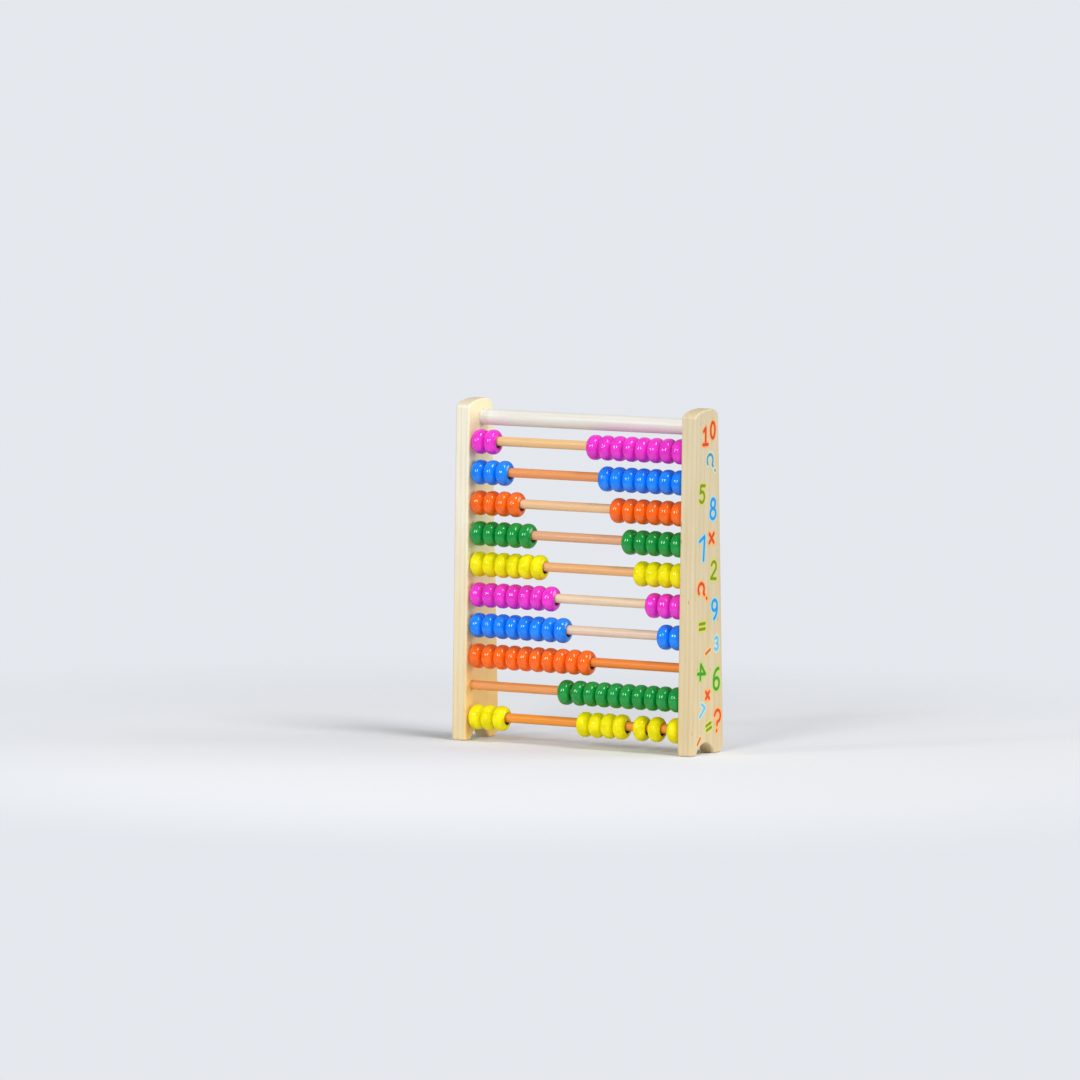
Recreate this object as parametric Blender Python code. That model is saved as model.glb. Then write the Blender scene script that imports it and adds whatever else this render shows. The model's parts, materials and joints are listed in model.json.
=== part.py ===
"""Wooden counting frame: two side posts, a top bar, ten rods and a hundred beads.

Metres, +Z up.  X runs along the rods, the front faces -Y, and the origin is on the
ground below the middle of the frame.  Every group of beads hangs from an empty that
lies on its rod's axis, and slides along X.
"""
from math import asin, atan2, cos, pi, radians, sin, tan

import bmesh
import bpy
from mathutils import Matrix, Vector

# Driving dimensions
HEIGHT = 0.240              # ground to the crown of the posts
INNER_WIDTH = 0.170         # between the posts' inner faces
POST_THICKNESS = 0.011
FOOT_DEPTH = 0.047          # front to back, at the ground
TOP_DEPTH = 0.033           # front to back, at the top
ROD_COUNT = 10
BEADS_PER_ROD = 10
ROW_PITCH = 0.0215          # from rod to rod
LOWEST_ROD_Z = 0.0174
ROD_SETBACK = 0.009         # rod axis behind the posts' front edge
ROD_RADIUS = 0.0033
BAR_RADIUS = 0.0056
BAR_SETBACK = 0.020
BAR_Z = 0.2268
BEAD_PITCH = 0.0097         # one bead's length along the rod, with its gap
BEAD_RADIUS = 0.0088
BEAD_END_RADIUS = 0.0057    # flat end faces, and the valleys between joined beads
BEAD_CROWN_HALF = 0.0022    # half the length of the bead's widest band
BORE_RADIUS = 0.0040
SOCKET_DEPTH = 0.0075       # blind holes in the posts for the rods and the bar
GAP = 0.0003                # clearance between neighbouring pieces

# Post outline: the domed top is two quarter ellipses that meet at the crown
FRONT_CROWN_REACH = 0.0230
FRONT_CROWN_DROP = 0.0063
REAR_CROWN_REACH = TOP_DEPTH - FRONT_CROWN_REACH
REAR_CROWN_DROP = 0.0058
FRONT_FOOT_ROUND = 0.0015
REAR_FOOT_ROUND = 0.0070
ARCH_SETBACK = 0.0205       # middle of the foot arch, behind the front edge
ARCH_HALF_WIDTH = 0.0125
ARCH_HEIGHT = 0.0080
ARRIS = 0.0008              # eased edges of the posts

# Facets
BEAD_SIDES = 12
ROD_SIDES = 12
BAR_SIDES = 16
CORNER_STEPS = 4
ARCH_STEPS = 8
CROWN_STEPS = 6

# Groups of beads on each rod, top to bottom, and left to right: a name, the free space
# before the group, and the beads in each of its solids.  REST is what the others leave.
REST = None
ROWS = (
    ("pink", (("left", 0.0, (1, 1)), ("right", REST, (1, 4, 3)))),
    ("blue", (("left", 0.0, (2, 1)), ("right", REST, (1, 3, 3)))),
    ("orange", (("left", 0.0, (3, 1)), ("right", REST, (1, 5)))),
    ("green", (("left", 0.0, (4, 1)), ("right", REST, (1, 4)))),
    ("yellow", (("left", 0.0, (5, 1)), ("right", REST, (1, 3)))),
    ("pink", (("left", 0.0, (3, 3, 1)), ("right", REST, (1, 2)))),
    ("blue", (("left", 0.0, (3, 4, 1)), ("right", REST, (1, 1)))),
    ("orange", (("stack", 0.0, (4, 5)), ("end", 0.0, (1,)))),
    ("green", (("lead", REST, (1,)), ("stack", 0.0011, (1, 4, 4)))),
    ("yellow", (("left", 0.0, (2, 1)), ("four", REST, (1, 3)), ("first", 0.0065, (1,)),
                ("second", 0.0021, (1,)), ("third", 0.0054, (1,)))),
)
LAST_ROW_END_SPACE = 0.0008  # free space after the lowest rod's last bead

# Colour (linear RGB), roughness
PAINTS = {
    "pink": ((0.72, 0.035, 0.52), 0.15),
    "blue": ((0.004, 0.14, 0.80), 0.15),
    "orange": ((0.90, 0.085, 0.006), 0.15),
    "green": ((0.002, 0.19, 0.045), 0.15),
    "yellow": ((0.82, 0.66, 0.01), 0.32),
    "post_wood": ((0.78, 0.66, 0.45), 0.50),
    "bar_wood": ((0.84, 0.76, 0.62), 0.50),
    "rod_wood": ((0.72, 0.42, 0.19), 0.50),
}


def clear_scene():
    for old in list(bpy.data.objects):
        bpy.data.objects.remove(old, do_unlink=True)


def make_materials():
    made = {}
    for name, (colour, roughness) in PAINTS.items():
        material = bpy.data.materials.new(name)
        material.use_nodes = True
        shader = material.node_tree.nodes["Principled BSDF"]
        shader.inputs["Base Color"].default_value = (*colour, 1.0)
        shader.inputs["Roughness"].default_value = roughness
        shader.inputs["Metallic"].default_value = 0.0
        material.diffuse_color = (*colour, 1.0)
        made[name] = material
    return made


def add_object(name, mesh, material, location=(0.0, 0.0, 0.0), parent=None):
    obj = bpy.data.objects.new(name, mesh)
    bpy.context.collection.objects.link(obj)
    mesh.materials.append(material)
    obj.location = location
    obj.parent = parent
    return obj


def finish_mesh(bm, name, sharp_degrees=40.0):
    bmesh.ops.recalc_face_normals(bm, faces=bm.faces)
    mesh = bpy.data.meshes.new(name)
    bm.to_mesh(mesh)
    bm.free()
    mesh.shade_smooth()
    mesh.set_sharp_from_angle(angle=radians(sharp_degrees))
    return mesh


def rod_z(row):
    """Height of a rod's axis; row 1 is at the top."""
    return LOWEST_ROD_Z + (ROD_COUNT - row) * ROW_PITCH


# Turned pieces -----------------------------------------------------------------

def add_cylinder(bm, radius, length, sides, centre):
    """A closed cylinder along X, with a flat of its polygon on top."""
    along_x = Matrix.Rotation(pi / 2, 4, "Y") @ Matrix.Rotation(pi / sides, 4, "Z")
    bmesh.ops.create_cone(bm, cap_ends=True, segments=sides, radius1=radius, radius2=radius,
                          depth=length, matrix=Matrix.Translation(centre) @ along_x)


def turned_ring(bm, profile, sides):
    """Turns a closed profile of (x, radius) points about X: a solid with a bore."""
    rings = []
    for x, radius in profile:
        angles = [2 * pi * (k + 0.5) / sides for k in range(sides)]
        rings.append([bm.verts.new((x, radius * cos(a), radius * sin(a))) for a in angles])
    for ring, after in zip(rings, rings[1:] + rings[:1]):
        for k in range(sides):
            n = (k + 1) % sides
            bm.faces.new((ring[k], ring[n], after[n], after[k]))


def beads_profile(count):
    """Profile of joined beads, centred on x = 0: crowns with valleys between them."""
    half = count * BEAD_PITCH / 2
    ends = half - GAP / 2
    profile = [(-ends, BORE_RADIUS), (-ends, BEAD_END_RADIUS)]
    for bead in range(count):
        middle = -half + (bead + 0.5) * BEAD_PITCH
        profile.append((middle - BEAD_CROWN_HALF, BEAD_RADIUS))
        profile.append((middle + BEAD_CROWN_HALF, BEAD_RADIUS))
        if bead < count - 1:
            profile.append((middle + BEAD_PITCH / 2, BEAD_END_RADIUS))
    return profile + [(ends, BEAD_END_RADIUS), (ends, BORE_RADIUS)]


def make_beads_mesh(count):
    bm = bmesh.new()
    turned_ring(bm, beads_profile(count), BEAD_SIDES)
    return finish_mesh(bm, f"beads_{count}")


def make_round_bar(name, radius, sides, centre, material):
    length = INNER_WIDTH + 2 * (SOCKET_DEPTH - GAP)
    bm = bmesh.new()
    add_cylinder(bm, radius, length, sides, (0.0, 0.0, 0.0))
    return add_object(name, finish_mesh(bm, name), material, centre)


# Posts -------------------------------------------------------------------------

def arc(centre, reach, rise, start, end, steps):
    """Points of an elliptical arc between two angles, both ends included."""
    points = []
    for k in range(steps + 1):
        angle = start + (end - start) * k / steps
        points.append(Vector((centre[0] + reach * cos(angle), centre[1] + rise * sin(angle))))
    return points


def foot_arch(middle, half_width, height, steps):
    """Points of a circular arch over the ground, from its rear end to its front end."""
    radius = (half_width * half_width + height * height) / (2 * height)
    spread = asin(half_width / radius)
    return arc((middle, height - radius), radius, radius,
               pi / 2 - spread, pi / 2 + spread, steps)


def rounded_corner(before, corner, after, radius, steps):
    """Points that replace a corner by an arc tangent to both of its sides."""
    to_before = (before - corner).normalized()
    to_after = (after - corner).normalized()
    half_angle = to_before.angle(to_after) / 2
    centre = corner + (to_before + to_after).normalized() * (radius / sin(half_angle))
    reach = radius / tan(half_angle)
    start = corner + to_before * reach - centre
    end = corner + to_after * reach - centre
    first = atan2(start.y, start.x)
    turn = atan2(start.x * end.y - start.y * end.x, start.dot(end))
    return arc(centre, radius, radius, first, first + turn, steps)


def post_outline():
    """Side view of a post as (setback, z) points: straight front, flared back, arched foot."""
    front_foot = Vector((0.0, 0.0))
    back_foot = Vector((FOOT_DEPTH, 0.0))
    back_top = Vector((TOP_DEPTH, HEIGHT - REAR_CROWN_DROP))
    front_top = Vector((0.0, HEIGHT - FRONT_CROWN_DROP))
    arch = foot_arch(ARCH_SETBACK, ARCH_HALF_WIDTH, ARCH_HEIGHT, ARCH_STEPS)
    outline = rounded_corner(arch[-1], front_foot, front_top, FRONT_FOOT_ROUND, 2)
    outline += arc((FRONT_CROWN_REACH, front_top.y), FRONT_CROWN_REACH, FRONT_CROWN_DROP,
                   pi, pi / 2, CROWN_STEPS)
    outline += arc((FRONT_CROWN_REACH, back_top.y), REAR_CROWN_REACH,
                   REAR_CROWN_DROP, pi / 2, 0.0, CROWN_STEPS)[1:]
    outline += rounded_corner(back_top, back_foot, arch[0], REAR_FOOT_ROUND, CORNER_STEPS)
    return outline + arch


def behind_front(setback):
    """Y of a point that lies this far behind the posts' front edge; Y = 0 is mid-depth."""
    return setback - max(point.x for point in post_outline()) / 2


def make_socket_cutter():
    """Long cylinders that leave blind holes in both posts."""
    length = INNER_WIDTH + 2 * SOCKET_DEPTH
    rod_y = behind_front(ROD_SETBACK)
    bm = bmesh.new()
    for row in range(1, ROD_COUNT + 1):
        add_cylinder(bm, ROD_RADIUS + GAP, length, ROD_SIDES, (0.0, rod_y, rod_z(row)))
    add_cylinder(bm, BAR_RADIUS + GAP, length, BAR_SIDES,
                 (0.0, behind_front(BAR_SETBACK), BAR_Z))
    mesh = bpy.data.meshes.new("socket_cutter")
    bm.to_mesh(mesh)
    bm.free()
    cutter = bpy.data.objects.new("socket_cutter", mesh)
    bpy.context.collection.objects.link(cutter)
    cutter.hide_render = True
    cutter.display_type = "WIRE"
    return cutter


def make_post(name, inner_x, outward, cutter, material):
    """A board between its inner face at inner_x and its outer face; outward is -1 or 1."""
    bm = bmesh.new()
    face = bm.faces.new([bm.verts.new((inner_x, behind_front(setback), z))
                         for setback, z in post_outline()])
    grown = bmesh.ops.extrude_face_region(bm, geom=[face])
    moved = [v for v in grown["geom"] if isinstance(v, bmesh.types.BMVert)]
    bmesh.ops.translate(bm, verts=moved, vec=(outward * POST_THICKNESS, 0.0, 0.0))
    post = add_object(name, finish_mesh(bm, name), material)
    ease = post.modifiers.new("ease_arrises", "BEVEL")
    ease.width = ARRIS
    ease.segments = 1
    ease.limit_method = "ANGLE"
    ease.angle_limit = radians(60)
    sockets = post.modifiers.new("sockets", "BOOLEAN")
    sockets.operation = "DIFFERENCE"
    sockets.solver = "EXACT"
    sockets.object = cutter
    return post


# Beads -------------------------------------------------------------------------

def group_starts(groups, end_space):
    """Left end of each group along X, on a rod whose last group ends end_space early."""
    usable = INNER_WIDTH - GAP - end_space
    fixed = sum(space for _, space, _ in groups if space is not REST)
    rest = usable - fixed - BEADS_PER_ROD * BEAD_PITCH
    x = -(INNER_WIDTH - GAP) / 2
    starts = []
    for _, space, sizes in groups:
        x += rest if space is REST else space
        starts.append(x)
        x += sum(sizes) * BEAD_PITCH
    return starts


def make_group(row, group, start, sizes, paint, meshes):
    """An empty on the rod's axis, which slides along it with the group's solids."""
    carrier = bpy.data.objects.new(f"row_{row:02d}_{group}", None)
    bpy.context.collection.objects.link(carrier)
    carrier.location = (start + sum(sizes) * BEAD_PITCH / 2, behind_front(ROD_SETBACK), rod_z(row))
    x = start
    for letter, count in zip("abc", sizes):
        kind = "bead" if count == 1 else "beads"
        middle = x + count * BEAD_PITCH / 2
        add_object(f"row_{row:02d}_{group}_{kind}_{letter}", meshes[count, paint.name], paint,
                   (middle - carrier.location.x, 0.0, 0.0), carrier)
        x += count * BEAD_PITCH


def make_rows(materials):
    meshes = {}
    for row, (colour, groups) in enumerate(ROWS, start=1):
        end_space = LAST_ROW_END_SPACE if row == ROD_COUNT else 0.0
        for _, _, sizes in groups:
            for count in sizes:
                if (count, colour) not in meshes:
                    meshes[count, colour] = make_beads_mesh(count)
        starts = group_starts(groups, end_space)
        for (group, _, sizes), start in zip(groups, starts):
            make_group(row, group, start, sizes, materials[colour], meshes)


def main():
    clear_scene()
    materials = make_materials()
    cutter = make_socket_cutter()
    half = INNER_WIDTH / 2
    make_post("left_post", -half, -1, cutter, materials["post_wood"])
    make_post("right_post", half, 1, cutter, materials["post_wood"])
    make_round_bar("top_bar", BAR_RADIUS, BAR_SIDES, (0.0, behind_front(BAR_SETBACK), BAR_Z),
                   materials["bar_wood"])
    rod_y = behind_front(ROD_SETBACK)
    for row in range(1, ROD_COUNT + 1):
        make_round_bar(f"rod_{row:02d}", ROD_RADIUS, ROD_SIDES, (0.0, rod_y, rod_z(row)),
                       materials["rod_wood"])
    make_rows(materials)


main()
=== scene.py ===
"""Looks of the wooden counting frame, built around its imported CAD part.

Metres, +Z up, in the CAD part's own frame: X runs along the rods and the front faces -Y.
Fine posts, dowels and beads stand for the plain CAD solids and ride on their bodies, and
the printed digits and signs lie on the posts' outer faces.
"""
import json
from math import asin, atan2, cos, pi, radians, sin, tan
from random import Random

import bmesh
import bpy
import numpy as np
from mathutils import Matrix, Vector


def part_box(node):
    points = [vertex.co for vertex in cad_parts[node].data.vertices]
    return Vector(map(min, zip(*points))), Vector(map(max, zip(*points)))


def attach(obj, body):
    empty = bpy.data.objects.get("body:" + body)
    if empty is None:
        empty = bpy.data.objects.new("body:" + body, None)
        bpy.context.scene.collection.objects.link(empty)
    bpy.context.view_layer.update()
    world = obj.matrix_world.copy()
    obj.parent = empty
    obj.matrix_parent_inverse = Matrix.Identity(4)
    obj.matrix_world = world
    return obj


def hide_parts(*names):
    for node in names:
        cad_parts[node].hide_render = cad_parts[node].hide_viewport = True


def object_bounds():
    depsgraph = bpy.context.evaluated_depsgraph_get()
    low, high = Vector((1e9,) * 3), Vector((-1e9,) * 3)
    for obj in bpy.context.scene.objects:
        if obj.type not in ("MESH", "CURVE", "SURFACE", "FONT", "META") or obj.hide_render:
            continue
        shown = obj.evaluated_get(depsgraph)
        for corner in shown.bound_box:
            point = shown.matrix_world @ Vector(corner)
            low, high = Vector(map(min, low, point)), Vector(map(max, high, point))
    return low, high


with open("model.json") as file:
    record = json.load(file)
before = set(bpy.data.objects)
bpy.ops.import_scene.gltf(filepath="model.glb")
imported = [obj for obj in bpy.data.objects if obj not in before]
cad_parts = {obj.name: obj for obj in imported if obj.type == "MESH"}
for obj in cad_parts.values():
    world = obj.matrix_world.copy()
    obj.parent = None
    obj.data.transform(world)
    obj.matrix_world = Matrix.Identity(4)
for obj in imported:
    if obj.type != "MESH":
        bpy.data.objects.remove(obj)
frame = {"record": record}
cad_low, cad_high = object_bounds()
INNER_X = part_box("right_post")[0].x

# Sizes of the design that a node's box doesn't give
HEIGHT = 0.240
FOOT_DEPTH = 0.047
TOP_DEPTH = 0.033
FRONT_CROWN_REACH = 0.0230
FRONT_CROWN_DROP = 0.0063
REAR_CROWN_REACH = TOP_DEPTH - FRONT_CROWN_REACH
REAR_CROWN_DROP = 0.0058
FRONT_FOOT_ROUND = 0.0015
REAR_FOOT_ROUND = 0.0070
ARCH_SETBACK = 0.0205
ARCH_HALF_WIDTH = 0.0125
ARCH_HEIGHT = 0.0080
ROD_COUNT = 10
ROD_RADIUS = 0.0033
BAR_RADIUS = 0.0056
SOCKET_DEPTH = 0.0075
BEAD_PITCH = 0.0097
BEAD_RADIUS = 0.0088
CAD_GAP = 0.0003

# Finer shape
ARRIS_RADIUS = 0.0013       # rounded edges of the posts
SOCKET_GAP = 0.00012        # glue line round a dowel
DOWEL_CHAMFER = 0.0006
BEAD_PLAY = 0.0001          # from bead to bead inside a group
BEAD_POWER = 2.6            # superellipse of the bead's outline: 2 is an ellipse
BEAD_END_SHARE = 0.55       # flat end face, as a share of the bead's radius
BORE_RADIUS = 0.0042
BORE_ROUND = 0.0005
BEAD_SAG = 0.0008           # beads hang on their rod
BEAD_TILT = 0.008           # largest lean of a bead, in radians
LEAN_SEED = 7
BORE_SHADE_REACH = BEAD_RADIUS * 0.14    # painted shade round a bead's bore
SHARP_DEGREES = 40.0        # edges bent further than this stay sharp
SHARP_DOWEL_DEGREES = 30.0
SHARP_BEAD_DEGREES = 50.0
SAME_RADIUS = 1e-6          # points this close to the bore's radius lie on the bore

# Steps round a circle or along an arc
BEAD_SIDES = 56
DOWEL_SIDES = 48
BEAD_STEPS = 26
BORE_STEPS = 5
ARRIS_STEPS = 5
ARCH_STEPS = 24
CROWN_STEPS = 18
FRONT_FOOT_STEPS = 6
REAR_FOOT_STEPS = 12
STROKE_STEPS = 14


# Colours -----------------------------------------------------------------------

def tone(red, green, blue):
    """A colour given as 0-255 sRGB, as linear RGBA."""
    linear = [(c / 255 / 12.92) if c <= 10 else ((c / 255 + 0.055) / 1.055) ** 2.4
              for c in (red, green, blue)]
    return (*linear, 1.0)


def scaled_tone(colour, factor):
    """A linear colour with its red, green and blue multiplied by the factor."""
    return (*(c * factor for c in colour[:3]), 1.0)


LACQUERS = {
    "pink": dict(colour=tone(234, 46, 202), roughness=0.3, coat=1.0),
    "blue": dict(colour=tone(0, 132, 255), roughness=0.3, coat=1.0),
    "orange": dict(colour=tone(255, 104, 4), roughness=0.3, coat=1.0),
    "green": dict(colour=tone(0, 146, 56), roughness=0.3, coat=1.0),
    "yellow": dict(colour=tone(238, 226, 6), roughness=0.42, coat=0.3),
}
ROW_PAINTS = ("pink", "blue", "orange", "green", "yellow") * 2
ROD_TONES = (
    tone(232, 188, 130), tone(232, 150, 88), tone(234, 190, 142), tone(224, 168, 126),
    tone(232, 174, 116), tone(232, 204, 172), tone(226, 200, 176), tone(236, 130, 40),
    tone(232, 156, 88), tone(236, 146, 40),
)
BOARDS = {
    "left": dict(pale=tone(237, 232, 214), deep=tone(220, 206, 170), pith=(-0.052, 0.012, 0.1),
                 foot_shade=0.9, flecks=0.2),
    # The right board's tones are darker than the left's as painted shade, where less light reaches
    # the right post
    "right": dict(pale=tone(218, 204, 170), deep=tone(202, 181, 136), pith=(0.142, 0.016, 0.1),
                  foot_shade=0.4, flecks=0.7),
}
# Painted shade that darkens and warms the posts towards the foot
FOOT_PAINTED_SHADE = tone(244, 226, 190)
# Painted light on the inner faces: pale at the top, orange bounce from the beads at the foot
INNER_LIGHT_TOP = tone(250, 242, 196)
INNER_BOUNCE_FOOT = tone(255, 208, 112)
BAR_PALE = tone(226, 225, 219)
BAR_DEEP = tone(212, 206, 190)
END_GRAIN = tone(228, 200, 155)
# Bare wood inside the bores, made dark as painted shade
BORE_WOOD_AND_SHADE = tone(120, 84, 50)
FLECK = tone(128, 92, 48)
ROD_STREAK = 0.8            # a rod's dark streaks, as a share of its pale tone

# Grain, in metres or as shares
GRAIN_STRETCH = 0.05        # streaks and rings are this much finer along the grain
FIBRE_STRETCH = 0.018
BOARD_RINGS = 0.0032
DOWEL_RINGS = 0.0021
RING_WARP = 9.0             # how far noise bends the rings, in radians
GRAIN_CONTRAST = 0.6
PORE_OFFSET = (0.37, 0.11, 0.05)
FLECK_STRETCH = (1.0, 1.0, 0.2)
BAR_PITH = (0.0, 0.03, 0.25)
FOOT_SHADE_TOP = HEIGHT * 0.9     # painted shade of the foot starts at this height and grows downwards
INNER_PAINTED_LIGHT = 0.85           # strength of the painted light on the inner faces
INNER_BLEND = 0.0008        # and how far into the board it ends
INNER_BOUNCE_TOP = HEIGHT * 0.6
END_GRAIN_SHARE = 0.45
WORN_INK = 0.72             # how much ink is left where it is worn most
WOOD_ROUGHNESS = (0.39, 0.56)
WOOD_RELIEF = 0.00006
LACQUER_RELIEF = 0.00003
LACQUER_SMEAR = 0.12        # added roughness where the lacquer is smeared
# strength of the painted shade round a bead's bore
BORE_PAINTED_SHADE = 0.55


# Node trees --------------------------------------------------------------------

class Surface:
    """A material and short calls that add nodes to it."""

    def __init__(self, name):
        self.material = bpy.data.materials.new(name)
        self.material.use_nodes = True
        self.tree = self.material.node_tree
        self.shader = self.tree.nodes["Principled BSDF"]

    def feed(self, socket, value):
        if isinstance(value, bpy.types.NodeSocket):
            self.tree.links.new(value, socket)
        else:
            socket.default_value = value

    def add(self, kind, inputs=None, **settings):
        node = self.tree.nodes.new(kind)
        for name, value in settings.items():
            setattr(node, name, value)
        for key, value in (inputs or {}).items():
            self.feed(node.inputs[key], value)
        return node

    def place(self):
        return self.add("ShaderNodeTexCoord").outputs["Object"]

    def scaled(self, vector, scale, location=(0.0, 0.0, 0.0)):
        inputs = {"Vector": vector, "Scale": scale, "Location": location}
        return self.add("ShaderNodeMapping", inputs).outputs["Vector"]

    def noise(self, vector, scale, detail=2.0, roughness=0.5):
        inputs = {"Vector": vector, "Scale": scale, "Detail": detail, "Roughness": roughness}
        return self.add("ShaderNodeTexNoise", inputs).outputs[0]

    def span(self, value, low, high, to_low=0.0, to_high=1.0):
        """Maps low..high smoothly to to_low..to_high."""
        inputs = {"Value": value, "From Min": low, "From Max": high,
                  "To Min": to_low, "To Max": to_high}
        node = self.add("ShaderNodeMapRange", inputs, interpolation_type="SMOOTHSTEP")
        return node.outputs["Result"]

    def maths(self, operation, first, second=0.0):
        return self.add("ShaderNodeMath", {0: first, 1: second},
                        operation=operation).outputs[0]

    def mix(self, share, first, second, blend="MIX"):
        node = self.add("ShaderNodeMix", {0: share, 6: first, 7: second},
                        data_type="RGBA", blend_type=blend)
        return node.outputs[2]

    def attribute(self, name, output="Fac"):
        return self.add("ShaderNodeAttribute", attribute_name=name).outputs[output]

    def bump(self, height, distance, strength):
        inputs = {"Height": height, "Distance": distance, "Strength": strength}
        return self.add("ShaderNodeBump", inputs).outputs["Normal"]

    def look(self, socket, value):
        """Feeds one of the shader's own sockets from a node, or sets it to a constant."""
        self.feed(self.shader.inputs[socket], value)


def wood_colour(s, pale, deep, along, pith, ring_spacing):
    """Colour, relief and fibres of clear wood, with its grain along axis 0 (X) or 2 (Z)."""
    place = s.place()
    stretch = [1.0, 1.0, 1.0]
    stretch[along] = GRAIN_STRETCH
    fine = [1.0, 1.0, 1.0]
    fine[along] = FIBRE_STRETCH
    streak_place = s.scaled(place, stretch)
    fine_place = s.scaled(place, fine)
    streaks = s.noise(streak_place, scale=420.0, detail=3.0, roughness=0.6)
    fibres = s.noise(fine_place, scale=2600.0, detail=4.0, roughness=0.65)
    warp = s.noise(streak_place, scale=90.0)
    from_pith = s.scaled(place, stretch, tuple(-c * k for c, k in zip(pith, stretch)))
    reach = s.add("ShaderNodeVectorMath", {0: from_pith}, operation="LENGTH").outputs["Value"]
    rings = s.maths("ADD", s.maths("MULTIPLY", reach, 2 * pi / ring_spacing),
                    s.maths("MULTIPLY", warp, RING_WARP))
    late = s.span(s.maths("SINE", rings), 0.1, 1.0)
    patches = s.span(s.noise(place, scale=26.0), 0.35, 0.7)
    depth = s.maths("ADD", s.maths("MULTIPLY", late, 0.45 * GRAIN_CONTRAST),
                    s.maths("MULTIPLY", s.span(streaks, 0.35, 0.75), 0.5 * GRAIN_CONTRAST))
    depth = s.maths("ADD", depth, s.maths("MULTIPLY", patches, 0.25 * GRAIN_CONTRAST))
    colour = s.mix(depth, pale, deep)
    fibre_dark = s.span(fibres, 0.42, 0.75, 0.0, 0.22 * GRAIN_CONTRAST)
    colour = s.mix(fibre_dark, colour, scaled_tone(deep, 0.55))
    pore_place = s.scaled(place, fine, PORE_OFFSET)
    pores = s.span(s.noise(pore_place, scale=1500.0, detail=1.0), 0.70, 0.80)
    colour = s.mix(s.maths("MULTIPLY", pores, 0.35 * GRAIN_CONTRAST), colour,
                   scaled_tone(deep, 0.35))
    relief = s.maths("ADD", s.maths("MULTIPLY", fibres, 0.7), s.maths("MULTIPLY", late, 0.3))
    return colour, relief, fibres


def finish_wood(s, colour, relief, fibres):
    """Sanded wood under a thin matt varnish, a little smoother along some of its fibres."""
    s.look("Base Color", colour)
    s.look("Roughness", s.span(fibres, 0.3, 0.7, *WOOD_ROUGHNESS))
    s.look("Normal", s.bump(relief, WOOD_RELIEF, 0.5))
    s.look("Specular IOR Level", 0.42)
    s.look("Coat Weight", 0.12)
    s.look("Coat Roughness", 0.25)
    return s.material


def post_wood(name, board, printed=False):
    """Pale board wood, with ink over it where a print lies.

    It has painted shade that makes it darker and warmer towards the foot, and painted light on the
    inner face, brighter and orange towards the foot as bounce from the beads; it is tan where the
    grain ends on the rounded top and foot, and has a few brown flecks.
    """
    s = Surface(name)
    colour, relief, fibres = wood_colour(s, board["pale"], board["deep"], 2, board["pith"],
                                         BOARD_RINGS)
    position = s.add("ShaderNodeSeparateXYZ", {0: s.place()})
    height = position.outputs["Z"]
    # Painted shade: the wood gets darker and warmer towards the foot
    foot_shade_share = s.span(height, FOOT_SHADE_TOP, 0.0, 0.0, board["foot_shade"])
    colour = s.mix(foot_shade_share, colour, s.mix(1.0, colour, FOOT_PAINTED_SHADE, "MULTIPLY"))
    # Painted light: the inner faces are brighter, and orange towards the foot as bounce light from
    # the beads
    beside = s.maths("ABSOLUTE", position.outputs["X"])
    inner_light_share = s.span(beside, INNER_X, INNER_X + INNER_BLEND, INNER_PAINTED_LIGHT, 0.0)
    inner_light_tone = s.mix(s.span(height, INNER_BOUNCE_TOP, 0.0), INNER_LIGHT_TOP, INNER_BOUNCE_FOOT)
    colour = s.mix(inner_light_share, colour, s.mix(0.25, inner_light_tone, colour, "MULTIPLY"))
    facing = s.add("ShaderNodeTexCoord").outputs["Normal"]
    upright = s.add("ShaderNodeSeparateXYZ", {0: facing}).outputs["Z"]
    end_share = s.span(s.maths("ABSOLUTE", upright), 0.55, 0.9, 0.0, END_GRAIN_SHARE)
    specks = s.span(s.noise(s.place(), scale=1900.0, detail=3.0, roughness=0.7), 0.4, 0.7)
    end_colour = s.mix(specks, END_GRAIN, scaled_tone(END_GRAIN, 0.7))
    colour = s.mix(end_share, colour, end_colour)
    fleck_place = s.scaled(s.place(), FLECK_STRETCH)
    flecks = s.span(s.noise(fleck_place, scale=460.0, detail=1.0), 0.74, 0.8, 0.0, board["flecks"])
    colour = s.mix(flecks, colour, FLECK)
    if printed:
        wear = s.noise(s.place(), scale=2200.0, detail=3.0, roughness=0.7)
        worn = s.span(wear, 0.25, 0.45, WORN_INK, 1.0)
        amount = s.maths("MULTIPLY", s.attribute("ink_amount"), worn)
        colour = s.mix(amount, colour, s.attribute("ink_colour", "Color"))
    return finish_wood(s, colour, relief, fibres)


def dowel_wood(name, pale, deep, pith):
    """Clear wood with its grain along a rod or the top bar."""
    s = Surface(name)
    colour, relief, fibres = wood_colour(s, pale, deep, 0, pith, DOWEL_RINGS)
    return finish_wood(s, colour, relief, fibres)


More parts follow.
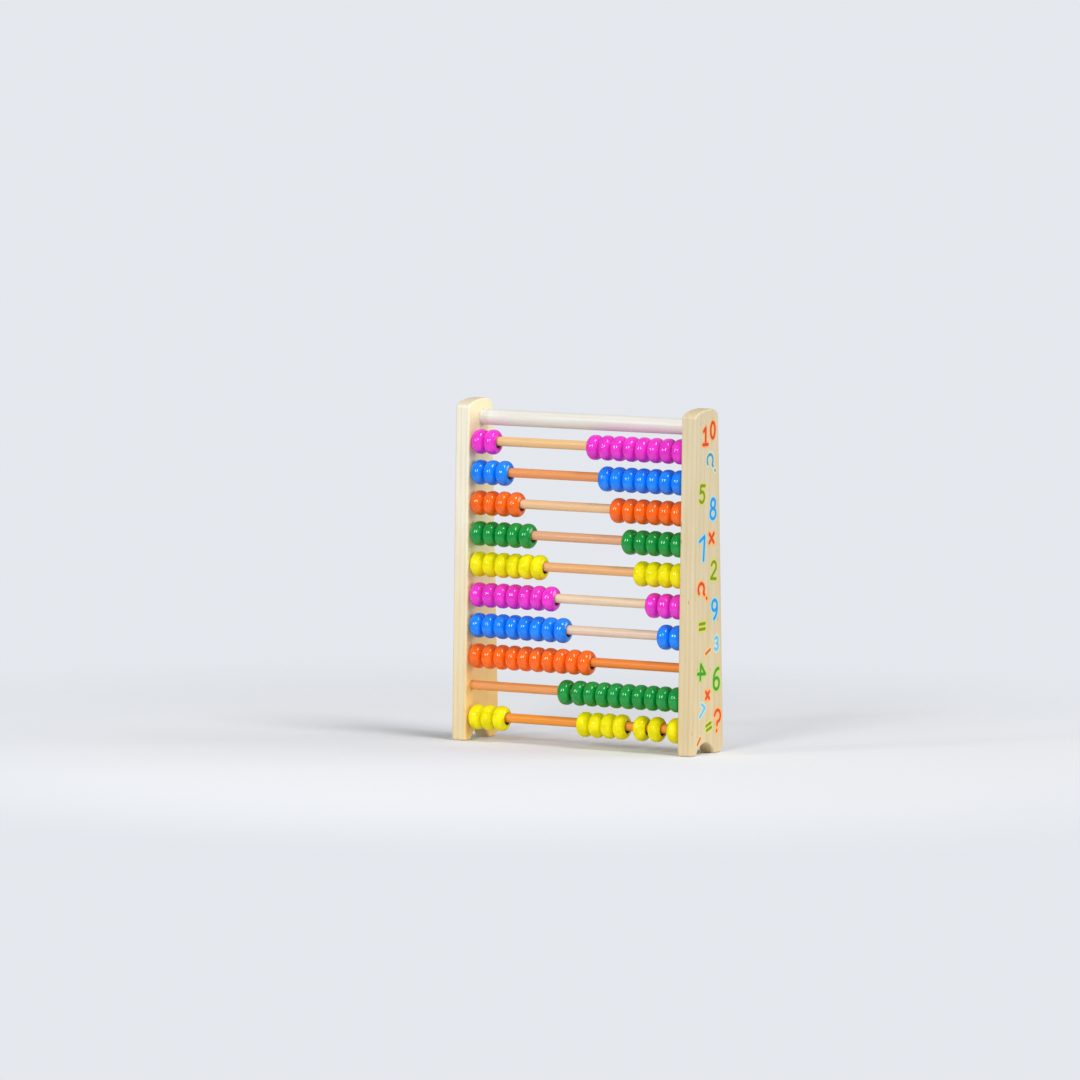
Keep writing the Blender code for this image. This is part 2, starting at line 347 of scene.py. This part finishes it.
def lacquer(name, colour, roughness, coat):
    """Coloured lacquer over turned wood: a little mottled, with a faint orange-peel relief."""
    s = Surface(name)
    place = s.place()
    cloud = s.span(s.noise(place, scale=160.0, detail=3.0, roughness=0.55), 0.3, 0.7)
    lighter = (*(min(1.0, c * 1.05 + 0.006) for c in colour[:3]), 1.0)
    paint = s.mix(cloud, scaled_tone(colour, 0.84), lighter)
    # Painted shade: the lacquer darkens towards the bore
    bore_shade = s.maths("MULTIPLY", s.attribute("near_bore"), BORE_PAINTED_SHADE)
    paint = s.mix(bore_shade, paint, scaled_tone(colour, 0.4))
    s.look("Base Color", paint)
    smears = s.noise(place, scale=420.0, detail=3.0, roughness=0.6)
    s.look("Roughness", s.span(smears, 0.3, 0.7, roughness, roughness + LACQUER_SMEAR))
    peel = s.noise(place, scale=500.0)
    s.look("Normal", s.bump(peel, LACQUER_RELIEF, 0.04))
    s.look("Specular IOR Level", 0.0)
    s.look("Coat Weight", coat)
    s.look("Coat IOR", 1.5)
    s.look("Coat Roughness", 0.1)
    return s.material


def shaded_raw_bore():
    """Bare wood inside a bead's bore, made dark as painted shade."""
    s = Surface("bead_bore_wood_and_shade")
    specks = s.span(s.noise(s.place(), scale=1400.0, detail=3.0, roughness=0.6), 0.3, 0.7)
    s.look("Base Color", s.mix(specks, BORE_WOOD_AND_SHADE, scaled_tone(BORE_WOOD_AND_SHADE, 0.6)))
    s.look("Roughness", 0.8)
    return s.material


# Mesh helpers ------------------------------------------------------------------

def add_piece(name, mesh, body, materials, replaced=()):
    piece = bpy.data.objects.new(name, mesh)
    bpy.context.scene.collection.objects.link(piece)
    for material in materials:
        mesh.materials.append(material)
    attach(piece, body)
    if replaced:
        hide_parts(*replaced)
    return piece


def mesh_from(bm, name, sharp_degrees=SHARP_DEGREES):
    bmesh.ops.recalc_face_normals(bm, faces=bm.faces)
    mesh = bpy.data.meshes.new(name)
    bm.to_mesh(mesh)
    bm.free()
    mesh.shade_smooth()
    mesh.set_sharp_from_angle(angle=radians(sharp_degrees))
    return mesh


def turn_about_x(bm, profile, sides, closed):
    """Turns (x, radius) points about X: a closed profile makes a ring, an open one gets caps."""
    rings = []
    for x, radius in profile:
        angles = [2 * pi * k / sides for k in range(sides)]
        rings.append([bm.verts.new((x, radius * cos(a), radius * sin(a))) for a in angles])
    pairs = list(zip(rings, rings[1:]))
    if closed:
        pairs.append((rings[-1], rings[0]))
    else:
        bm.faces.new(rings[0])
        bm.faces.new(list(reversed(rings[-1])))
    for ring, after in pairs:
        for k in range(sides):
            n = (k + 1) % sides
            bm.faces.new((ring[k], ring[n], after[n], after[k]))
    return rings


def arc(centre, reach, rise, start, end, steps):
    """Points of an elliptical arc between two angles, both ends included."""
    points = []
    for k in range(steps + 1):
        angle = start + (end - start) * k / steps
        points.append(Vector((centre[0] + reach * cos(angle), centre[1] + rise * sin(angle))))
    return points


# Posts -------------------------------------------------------------------------

def rounded_corner(before, corner, after, radius, steps):
    """Points that replace a corner by an arc tangent to both of its sides."""
    to_before = (before - corner).normalized()
    to_after = (after - corner).normalized()
    half_angle = to_before.angle(to_after) / 2
    centre = corner + (to_before + to_after).normalized() * (radius / sin(half_angle))
    reach = radius / tan(half_angle)
    start = corner + to_before * reach - centre
    end = corner + to_after * reach - centre
    first = atan2(start.y, start.x)
    turn = atan2(start.x * end.y - start.y * end.x, start.dot(end))
    return arc(centre, radius, radius, first, first + turn, steps)


def post_outline():
    """Side view of a post as (setback, z) points: straight front, flared back, arched foot."""
    back_foot = Vector((FOOT_DEPTH, 0.0))
    back_top = Vector((TOP_DEPTH, HEIGHT - REAR_CROWN_DROP))
    front_top = Vector((0.0, HEIGHT - FRONT_CROWN_DROP))
    arch_radius = (ARCH_HALF_WIDTH ** 2 + ARCH_HEIGHT ** 2) / (2 * ARCH_HEIGHT)
    spread = asin(ARCH_HALF_WIDTH / arch_radius)
    arch = arc((ARCH_SETBACK, ARCH_HEIGHT - arch_radius), arch_radius, arch_radius,
               pi / 2 - spread, pi / 2 + spread, ARCH_STEPS)
    outline = rounded_corner(arch[-1], Vector((0.0, 0.0)), front_top, FRONT_FOOT_ROUND,
                             FRONT_FOOT_STEPS)
    outline += arc((FRONT_CROWN_REACH, front_top.y), FRONT_CROWN_REACH, FRONT_CROWN_DROP,
                   pi, pi / 2, CROWN_STEPS)
    outline += arc((FRONT_CROWN_REACH, back_top.y), REAR_CROWN_REACH, REAR_CROWN_DROP,
                   pi / 2, 0.0, CROWN_STEPS)[1:]
    outline += rounded_corner(back_top, back_foot, arch[0], REAR_FOOT_ROUND, REAR_FOOT_STEPS)
    return outline + arch


def socket_cutter():
    """Cylinders a little wider than the dowels, as deep as the sockets in both posts."""
    left_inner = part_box("left_post")[1].x
    reach = -left_inner + SOCKET_DEPTH
    bm = bmesh.new()
    names = [f"rod_{row:02d}" for row in range(1, ROD_COUNT + 1)] + ["top_bar"]
    for name in names:
        low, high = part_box(name)
        centre = (low + high) / 2
        radius = (BAR_RADIUS if name == "top_bar" else ROD_RADIUS) + SOCKET_GAP
        rings = turn_about_x(bm, [(-reach, radius), (reach, radius)], DOWEL_SIDES, False)
        bmesh.ops.translate(bm, verts=sum(rings, []), vec=(0.0, centre.y, centre.z))
    bmesh.ops.recalc_face_normals(bm, faces=bm.faces)
    mesh = bpy.data.meshes.new("socket_cutter")
    bm.to_mesh(mesh)
    bm.free()
    cutter = bpy.data.objects.new("socket_cutter", mesh)
    bpy.context.scene.collection.objects.link(cutter)
    cutter.hide_render = True
    return cutter


def bake_modifiers(obj):
    """Replaces the object's mesh by its shape with the modifiers applied."""
    graph = bpy.context.evaluated_depsgraph_get()
    shaped = bpy.data.meshes.new_from_object(obj.evaluated_get(graph), depsgraph=graph)
    obj.modifiers.clear()
    obj.data = shaped
    return shaped


def make_post(node, cutter, material):
    """A board in the post's place, with rounded edges and the dowels' sockets cut out."""
    low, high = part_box(node)
    bm = bmesh.new()
    face = bm.faces.new([bm.verts.new((low.x, low.y + setback, z))
                         for setback, z in post_outline()])
    grown = bmesh.ops.extrude_face_region(bm, geom=[face])
    moved = [v for v in grown["geom"] if isinstance(v, bmesh.types.BMVert)]
    bmesh.ops.translate(bm, verts=moved, vec=(high.x - low.x, 0.0, 0.0))
    bmesh.ops.recalc_face_normals(bm, faces=bm.faces)
    rims = [e for e in bm.edges if any(len(f.verts) > 4 for f in e.link_faces)]
    bmesh.ops.bevel(bm, geom=rims, offset=ARRIS_RADIUS, segments=ARRIS_STEPS, profile=0.5,
                    affect="EDGES", clamp_overlap=False)
    mesh = mesh_from(bm, node)
    post = add_piece(f"{node}_board", mesh, "root", [material], [node])
    sockets = post.modifiers.new("sockets", "BOOLEAN")
    sockets.operation = "DIFFERENCE"
    sockets.solver = "EXACT"
    sockets.object = cutter
    shaped = bake_modifiers(post)
    shaped.shade_smooth()
    shaped.set_sharp_from_angle(angle=radians(SHARP_DEGREES))
    even = post.modifiers.new("even_flat_faces", "WEIGHTED_NORMAL")
    even.keep_sharp = True
    bake_modifiers(post)


def make_dowel(node, radius, material):
    """A round dowel with chamfered ends, in the place of a rod or of the top bar."""
    low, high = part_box(node)
    centre = (low + high) / 2
    half = (high.x - low.x) / 2
    bm = bmesh.new()
    ends = [(half - DOWEL_CHAMFER, radius), (half, radius - DOWEL_CHAMFER)]
    profile = [(-x, r) for x, r in reversed(ends)] + ends
    turn_about_x(bm, profile, DOWEL_SIDES, False)
    bmesh.ops.translate(bm, verts=bm.verts, vec=centre)
    mesh = mesh_from(bm, node, SHARP_DOWEL_DEGREES)
    add_piece(f"{node}_dowel", mesh, "root", [material], [node])


# Beads -------------------------------------------------------------------------

def bead_profile():
    """Closed (x, radius) outline of a bead: flat ends, full shoulders and a rounded bore edge."""
    half = (BEAD_PITCH - BEAD_PLAY) / 2
    reach = half / (1 - BEAD_END_SHARE ** BEAD_POWER) ** (1 / BEAD_POWER)
    first = asin(BEAD_END_SHARE ** (BEAD_POWER / 2))
    outside = []
    for k in range(BEAD_STEPS + 1):
        angle = first + (pi - 2 * first) * k / BEAD_STEPS
        across = cos(angle)
        side = 1.0 if across >= 0 else -1.0
        outside.append((side * reach * abs(across) ** (2 / BEAD_POWER),
                        BEAD_RADIUS * sin(angle) ** (2 / BEAD_POWER)))
    edge = arc((half - BORE_ROUND, BORE_RADIUS + BORE_ROUND), BORE_ROUND, BORE_ROUND,
               -pi / 2, 0.0, BORE_STEPS)
    right = [(p.x, p.y) for p in edge]
    left = [(-x, r) for x, r in reversed(right)]
    return right + outside + left


def make_bead(name, centre, body, node, materials, lean):
    """One lacquered bead, with painted shade round its bore and bare inside it."""
    bm = bmesh.new()
    near = bm.verts.layers.float.new("near_bore")
    profile = bead_profile()
    rings = turn_about_x(bm, profile, BEAD_SIDES, True)
    for ring, (x, radius) in zip(rings, profile):
        share = max(0.0, 1.0 - (radius - BORE_RADIUS) / BORE_SHADE_REACH)
        for vert in ring:
            vert[near] = share
    bm.normal_update()
    for face in bm.faces:
        radii = [Vector((v.co.y, v.co.z)).length for v in face.verts]
        if all(abs(radius - BORE_RADIUS) < SAME_RADIUS for radius in radii):
            face.material_index = 1
    turn_y = Matrix.Rotation(lean[0], 4, "Y")
    turn_z = Matrix.Rotation(lean[1], 4, "Z")
    bmesh.ops.transform(bm, matrix=Matrix.Translation(centre) @ turn_y @ turn_z, verts=bm.verts)
    mesh = mesh_from(bm, name, SHARP_BEAD_DEGREES)
    add_piece(name, mesh, body, materials, [node])


def make_row(row, materials, random):
    """Ten beads, counted from the left, in the places that the row's CAD nodes give."""
    groups = []
    for body, nodes in frame["record"]["behaviour"]["bodies"].items():
        if body.startswith(f"row_{row:02d}_"):
            groups += [(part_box(node), node, body) for node in nodes]
    groups.sort(key=lambda group: group[0][0].x)
    paint = ROW_PAINTS[row - 1]
    number = 0
    for (low, high), node, body in groups:
        count = round((high.x - low.x) / BEAD_PITCH)
        start = low.x - CAD_GAP / 2
        for k in range(count):
            number += 1
            lean = (random.uniform(-BEAD_TILT, BEAD_TILT), random.uniform(-BEAD_TILT, BEAD_TILT))
            centre = Vector((start + (k + 0.5) * BEAD_PITCH, (low.y + high.y) / 2,
                             (low.z + high.z) / 2 - BEAD_SAG))
            make_bead(f"row_{row:02d}_bead_{number:02d}", centre, body, node,
                      materials[paint], lean)


# Printed digits and signs ------------------------------------------------------

def strokes(sign):
    """Centrelines of a digit or sign as lists of (u, v) points, 1 high and centred on (0, 0)."""
    def line(*points):
        return [Vector(p) for p in points]

    def curve(u, v, reach, rise, start, end):
        return arc((u, v), reach, rise, radians(start), radians(end), STROKE_STEPS)

    shapes = {
        "0": [curve(0, 0, 0.27, 0.5, 0, 360)],
        "1": [line((-0.34, 0.27), (0.06, 0.5), (0.06, -0.5))],
        "1 with a base": [line((-0.2, 0.3), (0.04, 0.5), (0.04, -0.5)),
                          line((-0.26, -0.5), (0.32, -0.5))],
        "2": [curve(0, 0.22, 0.28, 0.28, 165, -35) + line((-0.3, -0.5), (0.32, -0.5))],
        "3": [curve(-0.04, 0.25, 0.27, 0.25, 150, -90)
              + curve(-0.04, -0.25, 0.3, 0.25, 90, -150)[1:]],
        "4": [line((0.12, -0.5), (0.12, 0.5), (-0.5, -0.14), (0.5, -0.14))],
        "5": [line((0.28, 0.5), (-0.2, 0.5), (-0.24, 0.06))
              + curve(-0.02, -0.18, 0.3, 0.32, 125, -140)],
        "6": [line((0.2, 0.5)) + curve(0.16, -0.1, 0.44, 0.6, 105, 180)
              + curve(0.0, -0.22, 0.28, 0.28, 180, -180)],
        "7": [line((-0.28, 0.5), (0.3, 0.5), (-0.06, -0.5))],
        "8": [curve(0, 0.26, 0.22, 0.24, 0, 360), curve(0, -0.24, 0.28, 0.26, 0, 360)],
        "9": [curve(0.0, 0.22, 0.28, 0.28, 0, 360) + curve(-0.16, 0.1, 0.44, 0.6, 0, -75)],
        "?": [curve(0, 0.22, 0.28, 0.28, 175, -60) + line((0.0, -0.08), (0.0, -0.2)),
              line((0.0, -0.48), (0.0, -0.5))],
        "x": [line((-0.42, 0.42), (0.42, -0.42)), line((-0.42, -0.42), (0.42, 0.42))],
        "=": [line((-0.5, 0.24), (0.5, 0.24)), line((-0.5, -0.24), (0.5, -0.24))],
        "-": [line((-0.5, 0.0), (0.5, 0.0))],
    }
    return shapes[sign]


INKS = {
    "red": (tone(206, 44, 8), tone(255, 164, 62)),
    "blue": (tone(8, 136, 210), tone(130, 214, 236)),
    "gold_blue": (tone(16, 142, 208), tone(214, 220, 160)),
    "pale_blue": (tone(104, 180, 214), tone(190, 218, 204)),
    "olive": (tone(120, 134, 6), tone(204, 214, 40)),
    "green": (tone(52, 136, 14), tone(156, 216, 44)),
    "brown": (tone(192, 100, 34), tone(236, 198, 128)),
}
# Sign, ink, middle from the edge on the reader's left, middle above the ground, height of the
# sign and its lean, in millimetres and degrees. That edge is the right post's front edge.
PRINTS = (
    ("1 with a base", "red", 14.2, 221.3, 11.5, 0), ("0", "red", 24.7, 225.0, 11.0, 0),
    ("?", "gold_blue", 23.7, 202.1, 14.5, 45), ("5", "olive", 10.9, 181.5, 11.6, -4),
    ("8", "blue", 26.6, 170.4, 13.8, 0), ("x", "red", 25.1, 150.2, 7.6, 0),
    ("1", "blue", 13.6, 143.9, 16.6, -4), ("2", "olive", 28.7, 127.8, 11.8, -4),
    ("?", "red", 13.8, 113.5, 14.5, 50), ("9", "blue", 30.7, 100.3, 13.2, 0),
    ("=", "olive", 13.5, 89.7, 7.6, 2), ("3", "pale_blue", 34.4, 76.5, 8.6, 0),
    ("-", "brown", 22.2, 71.6, 6.5, 24), ("4", "green", 13.5, 58.0, 10.5, -93),
    ("6", "green", 34.9, 51.7, 14.3, 0), ("x", "red", 22.5, 41.3, 5.8, 0),
    ("7", "pale_blue", 14.3, 30.3, 9.0, -30), ("?", "red", 36.9, 22.6, 14.5, -5),
    ("=", "olive", 24.8, 19.3, 6.8, 16), ("-", "brown", 11.0, 10.0, 5.5, 48),
)
SIGN_WORDS = {"?": "query", "x": "times", "=": "equals", "-": "minus", "1 with a base": "1"}
INK_CORE = 0.0011           # half width of the dark stroke
INK_HALO = 0.0022           # half width of the bright edge
INK_FADE = 0.0005           # half width of the halo's soft rim
INK_BLEND = 0.0005          # width of the change from dark to bright
INK_CELL = 0.00028          # side of the film's square faces
INK_RISE = 0.00004          # the film stands this far off the wood
INK_DEPTH = 0.00002         # and reaches this far into it


def distance_to_strokes(points, paths):
    """Distance of each (u, v) point from the nearest of the polylines."""
    nearest = np.full(len(points), 1.0)
    for path in paths:
        ends = np.array([tuple(p) for p in path])
        for start, end in zip(ends, ends[1:]):
            along = end - start
            share = np.clip((points - start) @ along / (along @ along), 0.0, 1.0)
            gap = np.linalg.norm(points - start - share[:, None] * along, axis=1)
            nearest = np.minimum(nearest, gap)
    return nearest


def make_print(name, post, outward, sign, ink, setback, height, size, lean, material):
    """A thin ink film on a post's outer face, dark along the strokes and bright round them."""
    low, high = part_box(post)
    face_x = high.x if outward > 0 else low.x
    turn = Matrix.Rotation(radians(lean), 2)
    paths = [[turn @ (p * size) for p in path] for path in strokes(sign)]
    spread = INK_HALO + INK_FADE
    corners = np.array([tuple(p) for path in paths for p in path])
    first = corners.min(0) - spread - INK_CELL
    counts = np.ceil((corners.max(0) + spread + INK_CELL - first) / INK_CELL).astype(int) + 1
    us = first[0] + INK_CELL * np.arange(counts[0])
    vs = first[1] + INK_CELL * np.arange(counts[1])
    grid = np.stack(np.meshgrid(us, vs, indexing="ij"), axis=-1).reshape(-1, 2)
    gaps = distance_to_strokes(grid, paths)
    bm = bmesh.new()
    amount = bm.verts.layers.float.new("ink_amount")
    shade = bm.verts.layers.float_color.new("ink_colour")
    core, halo = INKS[ink]
    kept = {}

    def vertex(i, j, x):
        if (i, j, x) not in kept:
            k = i * counts[1] + j
            u, v = grid[k]
            vert = bm.verts.new((x, low.y + setback + outward * u, height + v))
            dark = np.clip((INK_CORE - gaps[k]) / INK_BLEND + 0.5, 0.0, 1.0)
            vert[shade] = [dark * a + (1 - dark) * b for a, b in zip(core, halo)]
            vert[amount] = float(np.clip((spread - gaps[k]) / (2 * INK_FADE), 0.0, 1.0))
            kept[i, j, x] = vert
        return kept[i, j, x]

    top = face_x + outward * INK_RISE
    bottom = face_x - outward * INK_DEPTH
    near = (gaps < spread).reshape(counts)
    cells = near[:-1, :-1] | near[1:, :-1] | near[:-1, 1:] | near[1:, 1:]
    filled = {(int(i), int(j)) for i, j in np.argwhere(cells)}
    for i, j in sorted(filled):
        around = ((i, j), (i + 1, j), (i + 1, j + 1), (i, j + 1))
        bm.faces.new([vertex(*corner, top) for corner in around])
        bm.faces.new([vertex(*corner, bottom) for corner in reversed(around)])
        neighbours = ((i, j - 1), (i + 1, j), (i, j + 1), (i - 1, j))
        for k, neighbour in enumerate(neighbours):
            if neighbour not in filled:
                a, b = around[k], around[(k + 1) % 4]
                bm.faces.new((vertex(*b, top), vertex(*a, top), vertex(*a, bottom),
                              vertex(*b, bottom)))
    add_piece(name, mesh_from(bm, name), "root", [material])


def post_depth(height):
    """Front to back of a post at a height; its rear edge leans."""
    return FOOT_DEPTH - (FOOT_DEPTH - TOP_DEPTH) * height / (HEIGHT - REAR_CROWN_DROP)


def make_prints(side, outward, material):
    """The same prints, in the same reading order, on either post's outer face."""
    for number, (sign, ink, place, height, size, lean) in enumerate(PRINTS, start=1):
        word = SIGN_WORDS.get(sign, sign)
        setback = place / 1000 if outward > 0 else post_depth(height / 1000) - place / 1000
        make_print(f"{side}_print_{number:02d}_{word}", f"{side}_post", outward, sign, ink,
                   setback, height / 1000, size / 1000, lean, material)


# Stage, camera and light -------------------------------------------------------

CAMERA_TARGET = Vector((-0.0380, -0.0033, 0.1424))
CAMERA_DISTANCE = 6.0
CAMERA_AZIMUTH = 30.06
CAMERA_ELEVATION = 4.58
CAMERA_ROLL = 0.72
CAMERA_LENS = 286.3
CAMERA_SENSOR = 36.0
AMBIENT_TONE = (0.97, 0.98, 1.0, 1.0)
AMBIENT = 0.3
BACKDROP = (0.78, 0.805, 0.85, 1.0)
FLOOR_RADIUS = 1.0
FLOOR_SIDES = 96
FLOOR_TONE = (0.72, 0.735, 0.76, 1.0)
FLOOR_SOLID = 0.18          # the floor starts to fade at this distance
FLOOR_GONE = 0.7
# Name, azimuth and elevation in degrees, width and height in metres, power in watts
SOFTBOXES = (
    ("left_softbox", -28.0, 19.0, 0.17, 0.5, 5.0),
    ("front_softbox", 8.0, 21.0, 0.36, 0.5, 11.5),
    ("rear_fill", 122.0, 18.0, 0.9, 0.9, 11.0),
)
SOFTBOX_DISTANCE = 1.6
OVERHEAD = dict(azimuth=78.0, elevation=55.0, spread=24.0, strength=1.7)


def direction(azimuth, elevation):
    """Unit vector towards a place round the object: azimuth 0 is -Y and 90 is +X."""
    a, e = radians(azimuth), radians(elevation)
    return Vector((sin(a) * cos(e), -cos(a) * cos(e), sin(e)))


def make_camera():
    camera = bpy.data.objects.new("camera", bpy.data.cameras.new("camera"))
    bpy.context.scene.collection.objects.link(camera)
    back = direction(CAMERA_AZIMUTH, CAMERA_ELEVATION)
    look = (-back).to_track_quat("-Z", "Y").to_matrix().to_4x4()
    roll = Matrix.Rotation(radians(CAMERA_ROLL), 4, "Z")
    camera.matrix_world = Matrix.Translation(CAMERA_TARGET + back * CAMERA_DISTANCE) @ look @ roll
    camera.data.lens = CAMERA_LENS
    camera.data.sensor_width = CAMERA_SENSOR
    bpy.context.scene.camera = camera


def soft_light(name, azimuth, elevation, width, height, power):
    """A softbox aimed at the middle of the object, which the camera doesn't see."""
    lamp = bpy.data.lights.new(name, "AREA")
    lamp.shape = "RECTANGLE"
    lamp.size = width
    lamp.size_y = height
    lamp.energy = power
    light = bpy.data.objects.new(name, lamp)
    bpy.context.scene.collection.objects.link(light)
    light.visible_camera = False
    back = direction(azimuth, elevation)
    middle = (cad_low + cad_high) / 2
    light.location = middle + back * SOFTBOX_DISTANCE
    light.rotation_mode = "QUATERNION"
    light.rotation_quaternion = (-back).to_track_quat("-Z", "Y")


def overhead_light(azimuth, elevation, spread, strength):
    """Even light from high up, as soft as its spread in degrees."""
    lamp = bpy.data.lights.new("overhead", "SUN")
    lamp.angle = radians(spread)
    lamp.energy = strength
    light = bpy.data.objects.new("overhead", lamp)
    bpy.context.scene.collection.objects.link(light)
    light.rotation_mode = "QUATERNION"
    light.rotation_quaternion = (-direction(azimuth, elevation)).to_track_quat("-Z", "Y")


def make_floor():
    """A round pale floor that fades out far from the object."""
    bm = bmesh.new()
    bmesh.ops.create_circle(bm, cap_ends=True, segments=FLOOR_SIDES, radius=FLOOR_RADIUS)
    mesh = bpy.data.meshes.new("floor")
    bm.to_mesh(mesh)
    bm.free()
    floor = bpy.data.objects.new("floor", mesh)
    bpy.context.scene.collection.objects.link(floor)
    s = Surface("floor_pale")
    far = s.add("ShaderNodeVectorMath", {0: s.place()}, operation="LENGTH").outputs["Value"]
    s.look("Alpha", s.span(far, FLOOR_SOLID, FLOOR_GONE, 1.0, 0.0))
    s.look("Base Color", FLOOR_TONE)
    s.look("Roughness", 0.9)
    mesh.materials.append(s.material)


def make_world():
    """Dim even light on the object, in front of a pale backdrop."""
    world = bpy.data.worlds.new("studio")
    world.use_nodes = True
    tree = world.node_tree
    ambient = tree.nodes["Background"]
    ambient.inputs["Color"].default_value = AMBIENT_TONE
    ambient.inputs["Strength"].default_value = AMBIENT
    backdrop = tree.nodes.new("ShaderNodeBackground")
    backdrop.inputs["Color"].default_value = BACKDROP
    rays = tree.nodes.new("ShaderNodeLightPath")
    seen = tree.nodes.new("ShaderNodeMixShader")
    tree.links.new(rays.outputs["Is Camera Ray"], seen.inputs[0])
    tree.links.new(ambient.outputs[0], seen.inputs[1])
    tree.links.new(backdrop.outputs[0], seen.inputs[2])
    tree.links.new(seen.outputs[0], tree.nodes["World Output"].inputs["Surface"])
    bpy.context.scene.world = world


def main():
    cutter = socket_cutter()
    for side, outward in (("left", -1), ("right", 1)):
        make_post(f"{side}_post", cutter, post_wood(f"{side}_post_wood", BOARDS[side]))
        make_prints(side, outward, post_wood(f"{side}_post_print", BOARDS[side], printed=True))
    bpy.data.objects.remove(cutter)
    bar_wood = dowel_wood("top_bar_wood", BAR_PALE, BAR_DEEP, BAR_PITH)
    make_dowel("top_bar", BAR_RADIUS, bar_wood)
    bore = shaded_raw_bore()
    paints = {name: [lacquer(f"bead_{name}", **look), bore] for name, look in LACQUERS.items()}
    random = Random(LEAN_SEED)
    for row in range(1, ROD_COUNT + 1):
        node = f"rod_{row:02d}"
        pale = ROD_TONES[row - 1]
        pith = (0.0, 0.01, 0.3 - 0.02 * row)
        rod_wood = dowel_wood(f"{node}_wood", pale, scaled_tone(pale, ROD_STREAK), pith)
        make_dowel(node, ROD_RADIUS, rod_wood)
        make_row(row, paints, random)
    make_floor()
    make_world()
    make_camera()
    for softbox in SOFTBOXES:
        soft_light(*softbox)
    overhead_light(**OVERHEAD)
    bpy.context.scene.view_settings.view_transform = "Standard"


main()
